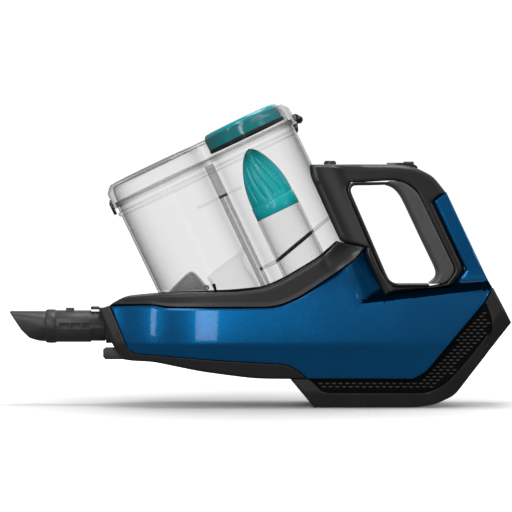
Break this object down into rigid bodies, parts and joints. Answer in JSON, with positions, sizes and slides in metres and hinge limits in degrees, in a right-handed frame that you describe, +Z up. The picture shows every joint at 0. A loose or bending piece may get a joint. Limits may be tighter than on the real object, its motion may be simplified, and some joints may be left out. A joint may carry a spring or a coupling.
{
  "type": "handheld vacuum",
  "caption": "Cordless handheld vacuum on its tail frame: clear tilted two-chamber bin with a teal cone, blue body, loop handle and slanted crevice tool.",
  "frame": {"origin": "middle of the length and width, on the floor plane", "axes": "+X from nozzle to tail, +Y to the machine's right, +Z up"},
  "size_m": [0.4975, 0.12, 0.3029],
  "materials": {
    "blue_paint": "glossy metallic blue paint",
    "frame_grey": "satin charcoal plastic",
    "handle_grey": "satin near-black plastic",
    "grip_grey": "fine-grained soft-touch grip",
    "trim_black": "gloss black plastic",
    "button_grey": "satin charcoal plastic",
    "grille_black": "matte black plastic",
    "tool_grey": "satin dark grey plastic",
    "inner_grey": "moulded grey plastic",
    "soft_black": "matte black rubber",
    "steel": "bright steel",
    "brass_contact": "bright contact",
    "can_metal": "drawn metal can",
    "stator_iron": "laminated iron",
    "fan_plastic": "ivory plastic",
    "foam_white": "open foam",
    "cell_wrap": "wrapped metal cell",
    "board_green": "coated circuit board",
    "clear_bin": "clear moulded plastic",
    "teal_cone": "teal translucent plastic",
    "teal_cap": "teal translucent plastic",
    "smoke_flap": "smoked translucent plastic"
  },
  "bodies": {
    "housing": {"body_shell_left": "blue_paint", "body_shell_right": "blue_paint", "saddle": "frame_grey", "nose_frame": "frame_grey", "belly_cover": "frame_grey", "tail_frame": "frame_grey", "exhaust_grille_left": "grille_black", "exhaust_grille_right": "grille_black", "handle_shell_left": "handle_grey", "handle_shell_right": "handle_grey", "grip_liner": "grip_grey", "window_trim": "handle_grey", "switch_bezel": "trim_black", "bin_release_spring": "steel", "tool_socket": "tool_grey", "inlet_elbow": "inner_grey", "connector_stub": "tool_grey", "contact_pins": "brass_contact", "motor_can": "can_metal", "motor_stator": "stator_iron", "fan_shroud": "inner_grey", "motor_cradle": "inner_grey", "motor_mount_front": "soft_black", "motor_mount_rear": "soft_black", "filter_frame": "inner_grey", "filter_foam": "foam_white", "battery_cradle": "inner_grey", "control_board": "board_green", "body_screws": "steel", "battery_cell_1": "cell_wrap", "battery_cell_2": "cell_wrap", "battery_cell_3": "cell_wrap", "battery_cell_4": "cell_wrap", "battery_cell_5": "cell_wrap", "battery_cell_6": "cell_wrap", "battery_cell_7": "cell_wrap"},
    "slider": {"power_slider": "button_grey"},
    "bin_button": {"bin_release_button": "button_grey"},
    "tool_button": {"tool_release_button": "button_grey"},
    "rotor": {"rotor_shaft": "steel", "fan_impeller": "fan_plastic"},
    "bin": {"dust_cup": "clear_bin", "bin_divider": "clear_bin", "baffle_plate": "clear_bin", "bin_inlet_duct": "clear_bin", "vortex_tube": "clear_bin", "cyclone_floor": "clear_bin", "cyclone_cone": "teal_cone", "flap_pin": "steel", "lid_hinge_pin": "steel"},
    "flap": {"inlet_flap": "smoke_flap"},
    "lid": {"lid_cover": "clear_bin", "lid_gasket": "soft_black", "cyclone_cap": "teal_cap", "cap_seal": "soft_black", "lid_catch": "trim_black"},
    "crevice_tool": {"tool_tip": "tool_grey", "tool_collar": "tool_grey", "tool_sleeve": "tool_grey"}
  },
  "joints": [
    {"name": "bin_lift", "type": "slide", "parent": "housing", "child": "bin", "axis": [-0.4305, 0, 0.9026], "range_m": [0, 0.12]},
    {"name": "lid_swing", "type": "hinge", "parent": "bin", "child": "lid", "pos_m": [0.04019, 0, 0.28507], "axis": [0, 1, 0], "range_deg": [0, 100]},
    {"name": "flap_swing", "type": "hinge", "parent": "bin", "child": "flap", "pos_m": [-0.052, 0, 0.117], "axis": [0, 1, 0], "range_deg": [0, 35]},
    {"name": "power_slide", "type": "slide", "parent": "housing", "child": "slider", "axis": [-1, 0, 0], "range_m": [0, 0.01]},
    {"name": "bin_release_press", "type": "slide", "parent": "housing", "child": "bin_button", "axis": [0, 0, -1], "range_m": [0, 0.003], "stiffness_N_per_m": 600, "deforming": ["bin_release_spring"]},
    {"name": "tool_release_press", "type": "slide", "parent": "housing", "child": "tool_button", "axis": [0, 0, -1], "range_m": [0, 0.0015], "stiffness_N_per_m": 800},
    {"name": "motor_spin", "type": "hinge", "parent": "housing", "child": "rotor", "pos_m": [0.09, 0, 0.0642], "axis": [1, 0, 0], "continuous": true},
    {"name": "tool_pull", "type": "slide", "parent": "housing", "child": "crevice_tool", "axis": [-1, 0, 0], "range_m": [0, 0.05]}
  ]
}
